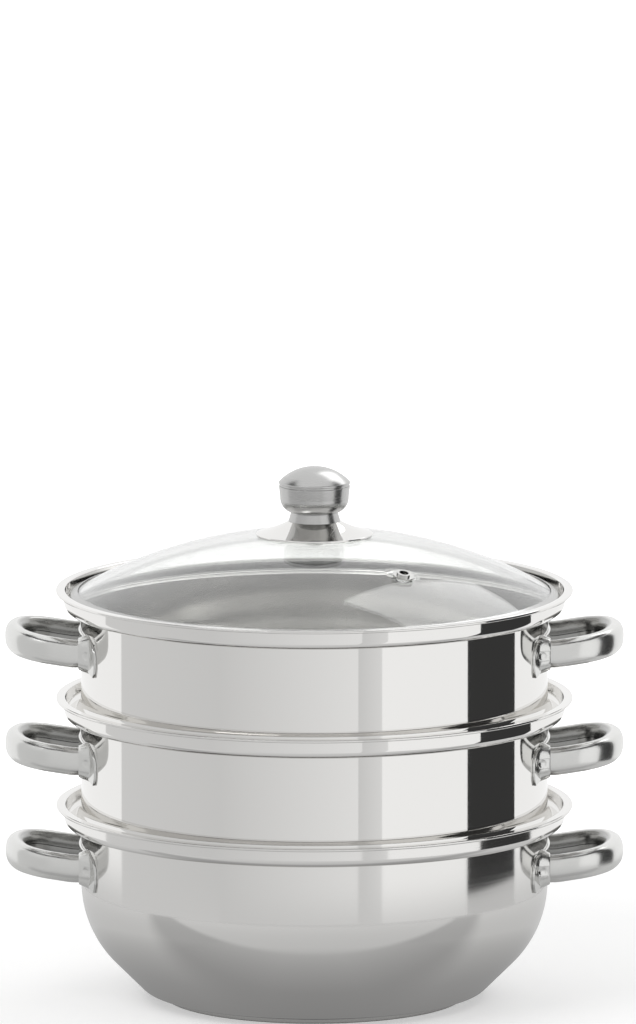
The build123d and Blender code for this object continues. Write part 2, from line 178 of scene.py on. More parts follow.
# Inside the polish is coarser and greyer, and reflections smear up and down the wall. It
# scatters a tenth of the light, so that a deep vessel doesn't turn black inside
inside_steel = worn_material(
    "inside_polished_stainless", "E0DFDD", (0.08, 0.12), round_lines,
    spacing=0.6 * MM, depth=0.0005 * MM, Metallic=0.9, Anisotropic=0.3)
# Satin of knob and band: fine turned lines under an even sheen
satin_steel = worn_material(
    "satin_turned_stainless", "BFBFBE", (0.2, 0.28), round_lines,
    spacing=0.5 * MM, depth=0.001 * MM, Metallic=1.0, Anisotropic=0.3)
# The grips are blasted with fine beads, which leaves a pale grain without direction
GRIP_COLOUR = "E0E0DE"
grip_steel = worn_material(
    "bead_blasted_stainless", GRIP_COLOUR, (0.21, 0.27), fine_grain,
    spacing=0.8 * MM, depth=0.001 * MM, Metallic=1.0)
# Bright but not quite a mirror: brackets and eyelet, tumbled and buffed as small pressings
bright_steel = worn_material(
    "tumbled_bright_stainless", "DBDBD9", (0.07, 0.13), fine_grain,
    spacing=1.5 * MM, depth=0.0015 * MM, Metallic=1.0)
# Turned base, with the rings of the lathe tool
turned_steel = worn_material(
    "turned_stainless_base", STEEL_COLOUR, (0.17, 0.27), round_lines,
    spacing=1.2 * MM, depth=0.01 * MM, Metallic=1.0, Anisotropic=0.4)
print("Steel finishes:", [item.name for item in bpy.data.materials if "stainless" in item.name])

# %% [markdown]
# ## Glass, silicone and aluminium
# The dome is tempered soda-lime glass, 4 mm thick, and almost without colour. Rollers carry it
# through the furnace while it is soft, so it is very slightly wavy, and a cloth leaves faint
# wipe marks. The seal is translucent silicone, soft and slightly dusty, with the fine grain of
# its mould. The disc in the base is aluminium, which only shows at its edge.

# %% Materials other than steel
# Clear and hard: only the waves of the furnace rollers, 25 mm apart, move what is seen through
tempered_glass = worn_material(
    "tempered_soda_lime_glass", "FEFFFE", (0.0, 0.012), fine_grain,
    spacing=25 * MM, depth=0.004 * MM, cloudy=True, Transmission_Weight=1.0, IOR=1.52)
# Cloudy white, soft in its shine, with the grain of the mould drawn at 1 mm
silicone = worn_material(
    "moulded_silicone", "E4E4DF", (0.48, 0.62), fine_grain,
    spacing=1 * MM, depth=0.006 * MM, cloudy=True,
    Subsurface_Weight=0.3, Subsurface_Scale=2 * MM, IOR=1.41)
# Dull grey metal with the small dents of the press
aluminium = worn_material(
    "pressed_aluminium", "C9CACB", (0.3, 0.42), fine_grain,
    spacing=2 * MM, depth=0.01 * MM, cloudy=True, Metallic=1.0)

# %% [markdown]
# ## How a spun vessel is drawn
# A spinner presses a flat disc over a turning form, so a vessel is one outline turned round
# the axis. The outline is a list of corners, each with its bending radius, and one function
# rounds them. Next to each bend it adds a ring close by. Without that ring the shading of a
# bend would leak over the whole wall, and in a mirror finish that shows as a warped wall.

# %% Round the corners of an outline
ARC_STEP = math.radians(10)
ARC_CHORD = 2.5 * MM
GUARD = 0.25 * MM
STRAIGHT = math.radians(0.5)


def rounded_outline(corners):
    """Points (radius, height) along an outline of (radius, height, bend radius) corners."""
    spots = [Vector(corner[:2]) for corner in corners]
    points = [spots[0]]
    for index in range(1, len(corners) - 1):
        before, here, after = spots[index - 1:index + 2]
        bend = corners[index][2]
        way_in = (here - before).normalized()
        way_out = (after - here).normalized()
        turn = way_in.angle_signed(way_out)
        if bend == 0 or abs(turn) < STRAIGHT:
            points.append(here)
            continue
        reach = bend * math.tan(abs(turn) / 2)
        start = here - way_in * reach
        side = Vector((way_in.y, -way_in.x)) if turn > 0 else Vector((-way_in.y, way_in.x))
        centre = start + side * bend
        steps = max(3, math.ceil(abs(turn) / ARC_STEP), math.ceil(abs(turn) * bend / ARC_CHORD))
        if (start - points[-1]).length > 3 * GUARD:
            points.append(start - way_in * GUARD)
        for step in range(steps + 1):
            points.append(centre + Matrix.Rotation(-turn * step / steps, 2) @ (start - centre))
        if (after - points[-1]).length > 3 * GUARD:
            points.append(points[-1] + way_out * GUARD)
    points.append(spots[-1])
    return points


# %% [markdown]
# ## The lathe
# The rounded outline is copied round the axis and neighbours are joined by faces. Going
# along the outline, the outside of the sheet is on the right hand. Where the outline starts
# or ends on the axis, the ring shrinks to one point, which closes the pole.

# %% Turn an outline into a mesh
SEGMENTS = 192
SHARP_TURN = math.radians(35)
TINY = 1e-7


def finished_object(name, mesh, material):
    """Object at the origin for a finished mesh, shaded smooth up to sharp edges."""
    mesh.shade_smooth()
    mesh.set_sharp_from_angle(angle=SHARP_TURN)
    if not mesh.materials:
        mesh.materials.append(material)
    piece = bpy.data.objects.new(name, mesh)
    bpy.context.scene.collection.objects.link(piece)
    return piece


def lathe(name, points, material, segments=SEGMENTS, level=0.0):
    """Object made by turning the outline's points round the vertical axis."""
    mesh = bpy.data.meshes.new(name)
    shape = bmesh.new()
    turns = [2 * math.pi * index / segments for index in range(segments)]
    rings = []
    for radius, height in points:
        if radius < TINY:
            rings.append([shape.verts.new((0, 0, height + level))])
        else:
            rings.append([shape.verts.new((radius * math.cos(turn), radius * math.sin(turn),
                                           height + level)) for turn in turns])
    for ring, following in zip(rings, rings[1:]):
        for index in range(segments):
            beside = (index + 1) % segments
            corners = [ring[index % len(ring)], ring[beside % len(ring)],
                       following[beside % len(following)], following[index % len(following)]]
            face_corners = list(dict.fromkeys(corners))
            if len(face_corners) > 2:
                shape.faces.new(face_corners)
    shape.to_mesh(mesh)
    shape.free()
    return finished_object(name, mesh, material)


def merge_points(mesh, distance, turn_outwards=False):
    """Join the points of a mesh that lie within a distance of each other."""
    shape = bmesh.new()
    shape.from_mesh(mesh)
    bmesh.ops.remove_doubles(shape, verts=shape.verts, dist=distance)
    if turn_outwards:
        bmesh.ops.recalc_face_normals(shape, faces=shape.faces)
    shape.to_mesh(mesh)
    shape.free()


# %% [markdown]
# ## Neck and rim
# Pot and tiers end in the same neck: a narrow step, a ledge that carries the next vessel, a
# collar round it, and a flat rim whose sheet is folded back under itself. One list gives its
# outside going up and its inside coming down, a sheet apart. Under the ledge the outside
# hangs a little lower, because the bend there bulges when the collar is pressed.

# %% Outline of the neck, outside and inside
FOLD_BEND = 0.7 * MM
UNDER_RIM_BEND = 0.5 * MM
COLLAR_BEND = 4.2 * MM
COLLAR_BULGE = 1.8 * MM
WALL_BEND = 0.8 * MM
LEDGE_BEND = 0.9 * MM
LEDGE_STEP_BEND = 0.4 * MM


def neck(height):
    """Corners of the neck, outside up to the rim at a height and inside down again."""
    seat = height - SEAT_DEPTH
    under_seat = seat - SHEET - COLLAR_BULGE
    inside = wall_radius - SHEET
    return [
        (wall_radius, under_seat, WALL_BEND),
        (collar_radius, under_seat, COLLAR_BEND),
        (collar_radius, height - RIM_THICKNESS, UNDER_RIM_BEND),
        (rim_radius, height - RIM_THICKNESS, FOLD_BEND),
        (rim_radius, height, FOLD_BEND),
        (collar_radius - SHEET, height, FOLD_BEND),
        (collar_radius - SHEET, seat, COLLAR_BEND - SHEET),
        (inside + LEDGE_STEP_WIDTH, seat, LEDGE_BEND),
        (inside + LEDGE_STEP_WIDTH, seat - LEDGE_STEP, LEDGE_STEP_BEND),
        (inside, seat - LEDGE_STEP, WALL_BEND),
    ]


def brush_inside(piece, points, height):
    """Give the faces of a vessel's inside, from below its ledges on, the brushed finish."""
    ledge = height - SEAT_DEPTH - LEDGE_STEP - MM
    rim = next(index for index, point in enumerate(points) if point.y >= height - TINY)
    first = next(index for index, point in enumerate(points) if index > rim and point.y < ledge)
    piece.data.materials.append(inside_steel)
    for face in piece.data.polygons:
        if face.index >= first * SEGMENTS:
            face.material_index = 1


# %% [markdown]
# ## The pot
# The pot's wall bends over a 60 mm curve into a slope and over a tighter one into the flat
# bottom. The same corners, moved in by the thickness of the sheet, give the inside. The
# outside is a soft mirror and the inside brushed, so the faces get one of two materials by
# the side of the sheet that they are on.

# %% Spin the pot
BELLY_CORNER = 40.1 * MM
BELLY_SLOPE = math.radians(45)
BELLY_BEND = 60 * MM
HEEL_BEND = 9 * MM

pot_foot = pot_low.z
heel_radius = wall_radius - (BELLY_CORNER - pot_foot) / math.tan(BELLY_SLOPE)
bend_shift = SHEET * math.tan(BELLY_SLOPE / 2)

pot_points = rounded_outline([
    (0, pot_foot, 0),
    (heel_radius, pot_foot, HEEL_BEND),
    (wall_radius, BELLY_CORNER, BELLY_BEND),
    *neck(pot_high.z),
    (wall_radius - SHEET, BELLY_CORNER + bend_shift, BELLY_BEND - SHEET),
    (heel_radius - bend_shift, pot_foot + SHEET, HEEL_BEND - SHEET),
    (0, pot_foot + SHEET, 0),
])
pot_shell = lathe("pot_shell", pot_points, soft_mirror_steel)
brush_inside(pot_shell, pot_points, pot_high.z)
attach(pot_shell, "pot")
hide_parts("pot_body")
print("Pot:", len(pot_points), "rings,", len(pot_shell.data.polygons), "faces")

# %% [markdown]
# ## Holes that follow a rule
# Steam rises through holes that a press punches in triangles of one, two, three and four.
# Eight such triangles stand round a ring of eight holes and one in the middle. That is a rule,
# so Geometry Nodes make it: a square grid of points loses the half above its diagonal, and
# what is left is spread into a triangle, copied round the axis and used as cutters. A second
# cutter, a cone, breaks the edge of each hole, as the press does.

# %% Start and end of a node tree
SOCKET_KINDS = {int: "Int", float: "Float", bpy.types.Material: "Material",
                bpy.types.Curve: "Geometry"}


def new_group(name, values):
    """Node group that gives a geometry and has an input for each named value."""
    tree = bpy.data.node_groups.new(name, "GeometryNodeTree")
    tree.interface.new_socket("Geometry", in_out="OUTPUT", socket_type="NodeSocketGeometry")
    for socket, value in values.items():
        kind = "NodeSocket" + SOCKET_KINDS[type(value)]
        tree.interface.new_socket(socket, in_out="INPUT", socket_type=kind)
    return tree


def end_group(tree, geometry, material):
    """Turn the result into real geometry, set its material and give it out."""
    real = add_node(tree, "GeometryNodeRealizeInstances", [geometry])
    finished = add_node(tree, "GeometryNodeSetMaterial", {"Geometry": real, "Material": material})
    add_node(tree, "NodeGroupOutput", [finished])


# %% Node tree that punches a floor
def hole_places(tree, sizes):
    """Points of all holes: clusters, ring and middle."""
    add = partial(add_node, tree)
    rows, pitch, clusters = sizes["Rows"], sizes["Pitch"], sizes["Clusters"]
    index = add("GeometryNodeInputIndex")
    count = add("ShaderNodeMath", [rows, rows], operation="MULTIPLY")
    grid = add("GeometryNodePoints", {"Count": count})
    share = add("ShaderNodeMath", [index, rows], operation="DIVIDE")
    row = add("ShaderNodeMath", [share], operation="FLOOR")
    column = add("ShaderNodeMath", [index, rows], operation="MODULO")
    # Out along the axis by the row, sideways by the column's distance from the row's middle
    rows_left = add("ShaderNodeMath", [rows, row], operation="SUBTRACT")
    steps_in = add("ShaderNodeMath", [rows_left, 1.0], operation="SUBTRACT")
    row_step = add("ShaderNodeMath", [pitch, math.sqrt(3) / 2], operation="MULTIPLY")
    depth = add("ShaderNodeMath", [steps_in, row_step], operation="MULTIPLY")
    out = add("ShaderNodeMath", [sizes["Outer radius"], depth], operation="SUBTRACT")
    half_row = add("ShaderNodeMath", [row, 2.0], operation="DIVIDE")
    shift = add("ShaderNodeMath", [column, half_row], operation="SUBTRACT")
    side = add("ShaderNodeMath", [shift, pitch], operation="MULTIPLY")
    spot = add("ShaderNodeCombineXYZ", [out, side])
    placed = add("GeometryNodeSetPosition", {"Geometry": grid, "Position": spot})
    beyond = add("ShaderNodeMath", [column, row], operation="GREATER_THAN")
    cluster = add("GeometryNodeDeleteGeometry", {"Geometry": placed, "Selection": beyond})
    # Copies of the cluster round the axis, half a step on from the ring's holes
    half_on = add("ShaderNodeMath", [index, 0.5])
    full_turn = add("ShaderNodeMath", [2 * math.pi, clusters], operation="DIVIDE")
    turn = add("ShaderNodeMath", [half_on, full_turn], operation="MULTIPLY")
    cluster_turn = add("ShaderNodeCombineXYZ", {"Z": turn})
    origins = add("GeometryNodePoints", {"Count": clusters})
    copies = add("GeometryNodeInstanceOnPoints", {
        "Points": origins, "Instance": cluster, "Rotation": cluster_turn})
    all_clusters = add("GeometryNodeRealizeInstances", [copies])
    ring = add("GeometryNodeMeshCircle", {"Vertices": clusters, "Radius": sizes["Ring radius"]})
    ring_points = add("GeometryNodeMeshToPoints", [ring])
    middle = add("GeometryNodePoints", {"Count": 1})
    joined = add("GeometryNodeJoinGeometry")
    for points in (all_clusters, ring_points, middle):
        tree.links.new(points.outputs[0], joined.inputs[0])
    return joined


def punched_floor_tree(values):
    """Node group: a round plate with bevelled holes in clusters."""
    tree = new_group("punched_floor", values)
    add = partial(add_node, tree)
    sizes = add("NodeGroupInput").outputs
    sheet, edge, hole = sizes["Sheet"], sizes["Edge"], sizes["Hole radius"]
    plate = add("GeometryNodeMeshCylinder", {
        "Vertices": sizes["Segments"], "Radius": sizes["Plate radius"], "Depth": sheet})
    drill_depth = add("ShaderNodeMath", [sheet, 4.0], operation="MULTIPLY")
    drill = add("GeometryNodeMeshCylinder", {
        "Vertices": sizes["Hole segments"], "Radius": hole, "Depth": drill_depth})
    # The cone is twice as high as the bevel, with its middle level with the plate's upper side
    height = add("ShaderNodeMath", [edge, 2.0], operation="MULTIPLY")
    wide_radius = add("ShaderNodeMath", [hole, height])
    cone = add("GeometryNodeMeshCone", {
        "Vertices": sizes["Hole segments"], "Radius Top": wide_radius, "Radius Bottom": hole,
        "Depth": height})
    half_sheet = add("ShaderNodeMath", [sheet, 2.0], operation="DIVIDE")
    level = add("ShaderNodeMath", [half_sheet, edge], operation="SUBTRACT")
    cone_place = add("ShaderNodeCombineXYZ", {"Z": level})
    raised_cone = add("GeometryNodeTransform", {"Geometry": cone, "Translation": cone_place})
    places = hole_places(tree, sizes)
    for cutter in (drill, raised_cone):
        cutters = add("GeometryNodeInstanceOnPoints", {"Points": places, "Instance": cutter})
        solid = add("GeometryNodeRealizeInstances", [cutters])
        plate = add("GeometryNodeMeshBoolean", {"Mesh 1": plate, "Mesh 2": solid},
                    operation="DIFFERENCE", solver="EXACT")
    end_group(tree, plate, sizes["Material"])
    return tree


# %% [markdown]
# ## From node tree to plain mesh
# A node tree is only a recipe. A carrier object, empty or with the line to follow, runs it,
# the result is copied into a plain mesh, and the carrier goes. The inputs are set by the
# identifier of their socket, before Blender works the tree out for the first time.

# %% Run a node tree once
def mesh_from_tree(make_tree, values):
    """Plain mesh of a node tree's result for the given input values."""
    tree = make_tree(values)
    given = values.get("Geometry") or bpy.data.meshes.new("carrier")
    carrier = bpy.data.objects.new("carrier", given)
    bpy.context.scene.collection.objects.link(carrier)
    modifier = carrier.modifiers.new("Nodes", "NODES")
    modifier.node_group = tree
    for socket in tree.interface.items_tree:
        if socket.in_out == "INPUT" and socket.name != "Geometry":
            modifier[socket.identifier] = values[socket.name]
    graph = bpy.context.evaluated_depsgraph_get()
    mesh = bpy.data.meshes.new_from_object(carrier.evaluated_get(graph), depsgraph=graph)
    bpy.data.objects.remove(carrier)
    return mesh


# %% Punch the floor of a tier
SPIGOT_CLEARANCE = 3 * MM
SPIGOT_HEIGHT = 12 * MM
SPIGOT_BEND = 4 * MM
CLUSTER_MARGIN = 19.2 * MM
FLOOR_MARGIN = 4 * MM

spigot_radius = wall_radius - SHEET - SPIGOT_CLEARANCE
floor_radius = spigot_radius - SPIGOT_BEND - FLOOR_MARGIN
floor_mesh = mesh_from_tree(punched_floor_tree, {
    "Rows": 4,
    "Clusters": 8,
    "Segments": SEGMENTS,
    "Hole segments": 24,
    "Pitch": 12.5 * MM,
    "Outer radius": spigot_radius - CLUSTER_MARGIN,
    "Ring radius": 26 * MM,
    "Hole radius": 2.75 * MM,
    "Plate radius": floor_radius,
    "Sheet": SHEET,
    "Edge": 0.25 * MM,
    "Material": inside_steel,
})
print("Punched floor:", len(floor_mesh.vertices), "points,", len(floor_mesh.polygons), "faces")

# %% [markdown]
# ## The steamer tiers
# Below the wall a bead stands out, which rests on the ledge of the vessel below, and under it
# a narrower spigot enters that vessel. The wall is turned like the pot's, but it is left open
# at the floor's edge. The punched plate loses its own side there, and the two are welded ring
# to ring.

# %% Turn a tier's wall and weld its floor in
BEAD_DEPTH = 3.4 * MM
BEAD_LAND = 2.4 * MM
BEAD_RISE = 5 * MM
BEAD_LOW_BEND = 1.5 * MM
BEAD_TOP_BEND = 2.6 * MM
BEAD_RISE_BEND = 5 * MM
SHOULDER_BEND = 0.6 * MM
INNER_LOW_BEND = 0.5 * MM
INNER_SHOULDER_BEND = 1 * MM
SIDE_TOLERANCE = 0.001 * MM
UPRIGHT = 0.1
WELD_REACH = 0.01 * MM

tier_height = tier_high.z - tier_low.z
bead_radius = wall_radius + BEAD_DEPTH
bead_top = SPIGOT_HEIGHT + BEAD_LAND
inside_spigot = spigot_radius - SHEET
# From the floor's edge, out, up, over the rim and back inside
tier_points = rounded_outline([
    (floor_radius, 0, 0),
    (spigot_radius, 0, SPIGOT_BEND),
    (spigot_radius, SPIGOT_HEIGHT, SHOULDER_BEND),
    (bead_radius, SPIGOT_HEIGHT, BEAD_LOW_BEND),
    (bead_radius, bead_top, BEAD_TOP_BEND),
    (wall_radius, bead_top + BEAD_RISE, BEAD_RISE_BEND),
    *neck(tier_height),
    (wall_radius - SHEET, bead_top + BEAD_RISE, BEAD_RISE_BEND),
    (bead_radius - SHEET, bead_top, BEAD_TOP_BEND - SHEET),
    (bead_radius - SHEET, SPIGOT_HEIGHT + SHEET, INNER_LOW_BEND),
    (inside_spigot, SPIGOT_HEIGHT + SHEET, INNER_SHOULDER_BEND),
    (inside_spigot, SHEET, SPIGOT_BEND - SHEET),
    (floor_radius, SHEET, 0),
])


def tier_piece(name, level):
    """One tier: its turned wall and its punched floor in one mesh."""
    piece = lathe(name, tier_points, mirror_steel, level=level)
    brush_inside(piece, tier_points, tier_height)
    shape = bmesh.new()
    shape.from_mesh(piece.data)
    wall_faces = len(shape.faces)
    floor = floor_mesh.copy()
    floor.transform(Matrix.Translation((0, 0, level + SHEET / 2)))
    shape.from_mesh(floor)
    shape.faces.ensure_lookup_table()
    edge_radius = floor_radius * math.cos(math.pi / SEGMENTS) - SIDE_TOLERANCE
    side = []
    for face in shape.faces[wall_faces:]:
        face.material_index = 1
        middle = face.calc_center_median()
        if math.hypot(middle.x, middle.y) > edge_radius and abs(face.normal.z) < UPRIGHT:
            side.append(face)
    bmesh.ops.delete(shape, geom=side, context="FACES_ONLY")
    bmesh.ops.remove_doubles(shape, verts=shape.verts, dist=WELD_REACH)
    open_edges = sum(1 for edge in shape.edges if edge.is_boundary)
    shape.to_mesh(piece.data)
    shape.free()
    piece.data.shade_smooth()
    piece.data.set_sharp_from_angle(angle=SHARP_TURN)
    print(name, "faces:", len(piece.data.polygons), "open edges:", open_edges)
    return piece


for body in ("lower_tier", "upper_tier"):
    tier = tier_piece(f"{body}_shell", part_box(f"{body}_body")[0].z)
    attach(tier, body)
    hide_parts(f"{body}_body")

# %% [markdown]
# ## Grips
# Each grip is two stamped half shells of steel welded to a hollow oval tube and blasted to a
# satin. Seen from above, its middle line has two straight legs, two corners and a gently bowed
# front, all arcs that touch without a kink. Seen from the front it rises outwards by about 9
# degrees, so that fingers clear the stove, and only inside the sockets it is level. A node
# tree sweeps an oval along that line. The oval is between an ellipse and a rectangle: each of
# a circle's coordinates is raised to a power below one, which fills out its corners and
# leaves its sides slightly convex.

# %% One mesh for both sides of each vessel
def six_copies(mesh, kind, foot):
    """Node, body and copy of a mesh, whose foot is at a given height, for each side and vessel."""
    for body in ("pot", "lower_tier", "upper_tier"):
        for side, half_turn in (("right", 0), ("left", math.pi)):
            node = f"{body}_{kind}_{side}"
            level = Matrix.Translation((0, 0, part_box(node)[0].z - foot))
            copy = mesh.copy()
            copy.transform(level @ Matrix.Rotation(half_turn, 4, "Z"))
            yield node, body, copy


# %% Middle line of a grip
LEG_SPACING = 65 * MM
LEG_START = 129.8 * MM
BOW_RADIUS = 62 * MM
BOW_ANGLE = math.radians(18)
GRIP_SLOPE = math.tan(math.radians(9))
SLOPE_START = 133 * MM
SLOPE_BEND = 5 * MM
SLOPE_STEPS = 6
ARC_STEPS = 20

grip_low, grip_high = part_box("pot_grip_right")
grip_height = grip_high.z - grip_low.z
grip_thickness = (grip_high.y - grip_low.y) - LEG_SPACING
grip_middle = grip_high.x - grip_thickness / 2


def arc_points(centre_x, centre_y, radius, start, end):
    """Points on an arc in the XY plane."""
    turns = [start + (end - start) * step / ARC_STEPS for step in range(ARC_STEPS + 1)]
    return [(centre_x + radius * math.cos(turn), centre_y + radius * math.sin(turn))
            for turn in turns]


def grip_rise(x):
    """Height of the middle line above the legs' ends, at a distance from the axis."""
    run = max(0, x - SLOPE_START)
    if run < SLOPE_BEND:
        return GRIP_SLOPE * run ** 2 / (2 * SLOPE_BEND)
    return GRIP_SLOPE * (run - SLOPE_BEND / 2)


def grip_path():
    """Middle line of the right grip: leg, corner, bowed front, corner, leg."""
    half = LEG_SPACING / 2
    corner = (half - BOW_RADIUS * math.sin(BOW_ANGLE)) / (1 - math.sin(BOW_ANGLE))
    front_end = grip_middle - BOW_RADIUS + BOW_RADIUS * math.cos(BOW_ANGLE)
    corner_x = front_end - corner * math.cos(BOW_ANGLE)
    quarter = math.pi / 2
    leg = [SLOPE_START + SLOPE_BEND * step / SLOPE_STEPS for step in range(SLOPE_STEPS + 1)]
    leg.insert(0, LEG_START)
    path = [(x, -half) for x in leg]
    path += arc_points(corner_x, corner - half, corner, -quarter, -BOW_ANGLE)
    path += arc_points(grip_middle - BOW_RADIUS, 0, BOW_RADIUS, -BOW_ANGLE, BOW_ANGLE)[1:]
    path += arc_points(corner_x, half - corner, corner, BOW_ANGLE, quarter)[1:]
    path += [(x, half) for x in reversed(leg)]
    return [(x, y, grip_rise(x)) for x, y in path]


# %% Node tree that sweeps a filled-out oval
GRIP_FULLNESS = 2.6
GRIP_SEGMENTS = 48


def filled_out(tree, value, half_size, fullness):
    """Coordinate of a circle, -1 to 1, moved outwards and scaled to half a size."""
    add = partial(add_node, tree)
    size = add("ShaderNodeMath", [value], operation="ABSOLUTE")
    power = add("ShaderNodeMath", [2.0, fullness], operation="DIVIDE")
    filled = add("ShaderNodeMath", [size, power], operation="POWER")
    sign = add("ShaderNodeMath", [value], operation="SIGN")
    signed = add("ShaderNodeMath", [filled, sign], operation="MULTIPLY")
    return add("ShaderNodeMath", [signed, half_size], operation="MULTIPLY")


def swept_oval_tree(values):
    """Node group: a filled-out oval swept along the curve that it is given."""
    tree = new_group("swept_oval", values)
    add = partial(add_node, tree)
    given = add("NodeGroupInput").outputs
    line = add("GeometryNodeSetCurveNormal", {"Curve": given["Geometry"]}, mode="Z_UP")
    circle = add("GeometryNodeCurvePrimitiveCircle", {"Resolution": GRIP_SEGMENTS, "Radius": 1.0})
    x, y, _ = add("ShaderNodeSeparateXYZ", [add("GeometryNodeInputPosition")]).outputs
    across = filled_out(tree, x, given["Half width"], given["Fullness"])
    upwards = filled_out(tree, y, given["Half height"], given["Fullness"])
    new_spot = add("ShaderNodeCombineXYZ", [across, upwards])
    oval = add("GeometryNodeSetPosition", {"Geometry": circle, "Position": new_spot})
    section = add("GeometryNodeInputPosition")
    marked = add("GeometryNodeStoreNamedAttribute",
                 {"Geometry": oval, "Name": "section", "Value": section},
                 data_type="FLOAT_VECTOR", domain="POINT")
    tube = add("GeometryNodeCurveToMesh", {"Curve": line, "Profile Curve": marked, "Fill Caps": True})
    end_group(tree, tube, given["Material"])
    return tree


# %% Darken a grip's seam, and paint shade on its inner side
# The seam where the two half shells meet stays visible on the inside of the loop, where no
# grinding belt reaches, as a dark line. The inner side of the loop is painted darker as well:
# this is painted shade, standing in for the shade of the recess inside the loop. The tree
# stored each point's place in the section for both.
INNER_SHADE_COLOUR = "A6A6A4"
SEAM_COLOUR = "4A4A49"
SEAM_HALF_WIDTH = 0.22 * MM
INNER_START = -1 * MM
INNER_END = -3 * MM

tree = grip_steel.node_tree
add = partial(add_node, tree)
stored = add("ShaderNodeAttribute", attribute_name="section").outputs["Vector"]
section_x, section_y, _ = add("ShaderNodeSeparateXYZ", [stored]).outputs
off_middle = add("ShaderNodeMath", [section_y], operation="ABSOLUTE")
near_middle = add("ShaderNodeMath", [off_middle, SEAM_HALF_WIDTH], operation="LESS_THAN")
inner_side = add("ShaderNodeMath", [section_x, 0.0], operation="LESS_THAN")
on_seam = add("ShaderNodeMath", [near_middle, inner_side], operation="MULTIPLY")
# Painted shade: the inner side of the loop turns darker, as if shaded by the loop round it
inner_shade_share = add("ShaderNodeMapRange", [section_x, INNER_START, INNER_END])
inner_shade_mix = add("ShaderNodeMix", {
    "Factor": inner_shade_share, "A": linear(GRIP_COLOUR), "B": linear(INNER_SHADE_COLOUR)}, data_type="RGBA")
seam_mix = add("ShaderNodeMix", {
    "Factor": on_seam, "A": inner_shade_mix.outputs["Result"], "B": linear(SEAM_COLOUR)}, data_type="RGBA")
tree.links.new(seam_mix.outputs["Result"], tree.nodes["Principled BSDF"].inputs["Base Color"])

# %% Sweep one grip and put it on each side of each vessel
CAP_MERGE = 0.001 * MM

path_data = bpy.data.curves.new("grip_path", "CURVE")
path_data.dimensions = "3D"
grip_line = path_data.splines.new("POLY")
grip_spots = grip_path()
grip_line.points.add(len(grip_spots) - 1)
for point, spot in zip(grip_line.points, grip_spots):
    point.co = (*spot, 1)
grip_mesh = mesh_from_tree(swept_oval_tree, {
    "Geometry": path_data,
    "Half width": grip_thickness / 2,
    "Half height": grip_height / 2,
    "Fullness": GRIP_FULLNESS,
    "Material": grip_steel,
})
merge_points(grip_mesh, CAP_MERGE, turn_outwards=True)
print("Grip rises in mm:", round(grip_rise(grip_middle) / MM, 2), "reaches in mm:",
      round(max(vertex.co.x for vertex in grip_mesh.vertices) / MM, 2),
      "faces:", len(grip_mesh.polygons))

for node, body, mesh in six_copies(grip_mesh, "grip", -grip_height / 2):
    grip = finished_object(f"{node}_swept", mesh, grip_steel)
    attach(grip, body)
    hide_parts(node)

# %% [markdown]
# ## The lid's band
# A strip of steel is rolled round the glass and its edges are pressed over, which leaves a
# soft bend at the top and bottom. The lips follow the dome.

# %% Turn the lid's band
BAND_SHEET = 0.6 * MM
BAND_LIP = 4.4 * MM
GLASS_THICKNESS = 4 * MM
GLASS_RISE = 36 * MM
FIT = 0.1 * MM
LOW_LIP_BEND = 0.2 * MM
HIGH_LIP_BEND = 0.25 * MM
BAND_LOW_BEND = 0.8 * MM
BAND_HIGH_BEND = 1 * MM
BAND_INNER_BEND = 0.4 * MM
FINE_EDGE = 0.1 * MM
SEAM = 0.005 * MM

lid_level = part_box("lid_band")[0].z
band_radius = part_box("lid_band")[1].x
glass_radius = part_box("lid_glass")[1].x
dome_radius = (glass_radius ** 2 + GLASS_RISE ** 2) / (2 * GLASS_RISE)
dome_underside = dome_radius - GLASS_THICKNESS
dome_centre = BAND_SHEET + FIT - math.sqrt(dome_underside ** 2 - glass_radius ** 2)


def on_dome(radius, gap=FIT):
    """Height above the lid's underside at which a gap is left to the top of the dome."""
    return dome_centre + math.sqrt((dome_radius + gap) ** 2 - radius ** 2)


lip_radius = band_radius - BAND_LIP
inner = band_radius - BAND_SHEET
band_outline = rounded_outline([
    (lip_radius, BAND_SHEET, 0),
    (lip_radius, 0, LOW_LIP_BEND),
    (band_radius, 0, BAND_LOW_BEND),
    (band_radius, on_dome(band_radius, FIT + BAND_SHEET), BAND_HIGH_BEND),
    (lip_radius, on_dome(lip_radius, FIT + BAND_SHEET), HIGH_LIP_BEND),
    (lip_radius, on_dome(lip_radius), FINE_EDGE),
    (inner, on_dome(inner), BAND_INNER_BEND),
    (inner, BAND_SHEET, BAND_INNER_BEND),
    (lip_radius, BAND_SHEET, 0),
])
band = lathe("lid_band_rolled", band_outline, satin_steel, level=lid_level)
merge_points(band.data, SEAM)
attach(band, "lid")
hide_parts("lid_band")
print("Band height in mm:", round(max(point.y for point in band_outline) / MM, 2))

# %% [markdown]
# ## The knob
# The knob is four turned pieces that one screw pulls together: a wide polished plate shaped to
# the dome, a flared neck, a bowl with a cuff, and a domed cap above a dark groove. Each has
# its own outline. Curved flanks are rows of points on an arc through three given ones.

